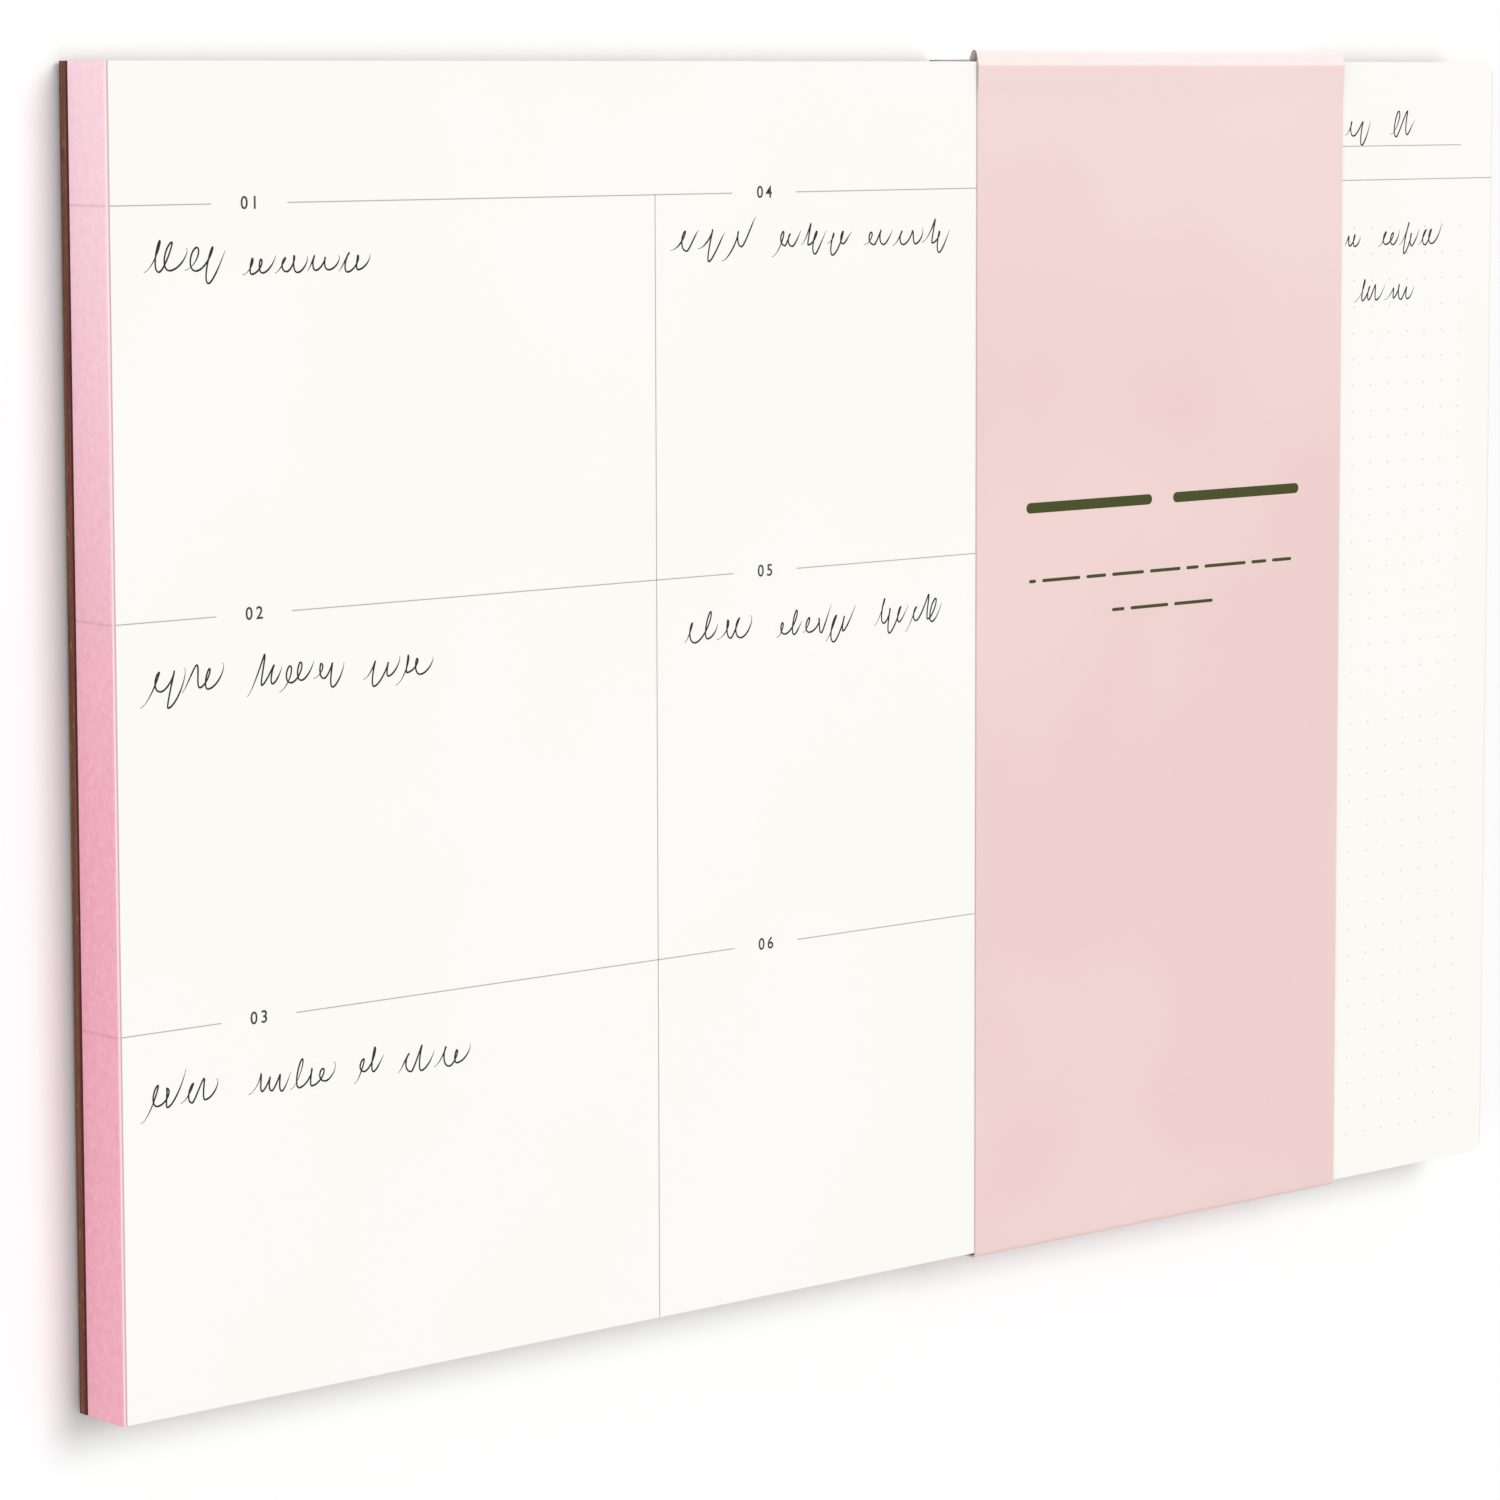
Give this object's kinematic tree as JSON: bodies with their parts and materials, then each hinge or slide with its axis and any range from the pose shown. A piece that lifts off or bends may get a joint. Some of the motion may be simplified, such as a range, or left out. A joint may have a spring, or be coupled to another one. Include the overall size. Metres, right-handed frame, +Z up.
{
  "type": "desk pad",
  "caption": "Landscape tear-off desk pad: a block of sheets padded along one short edge on a brown chipboard back, held by a folded paper band",
  "frame": {"origin": "centre of the bounding box in X and Y, at the surface that the pad lies on", "axes": "+X along the long side away from the glued edge, +Y to the head of the page, +Z up out of the page"},
  "size_m": [0.323, 0.218, 0.0133],
  "materials": {
    "backing_board": "bare brown chipboard with cut edges",
    "sheet_block": "smooth white uncoated writing paper",
    "binding_glue": "pink padding glue, satin, brushed",
    "belly_band": "pale pink matt card"
  },
  "bodies": {
    "root": {"backing_board": "backing_board", "sheet_block": "sheet_block", "binding_glue": "binding_glue", "belly_band": "belly_band"}
  },
  "joints": []
}
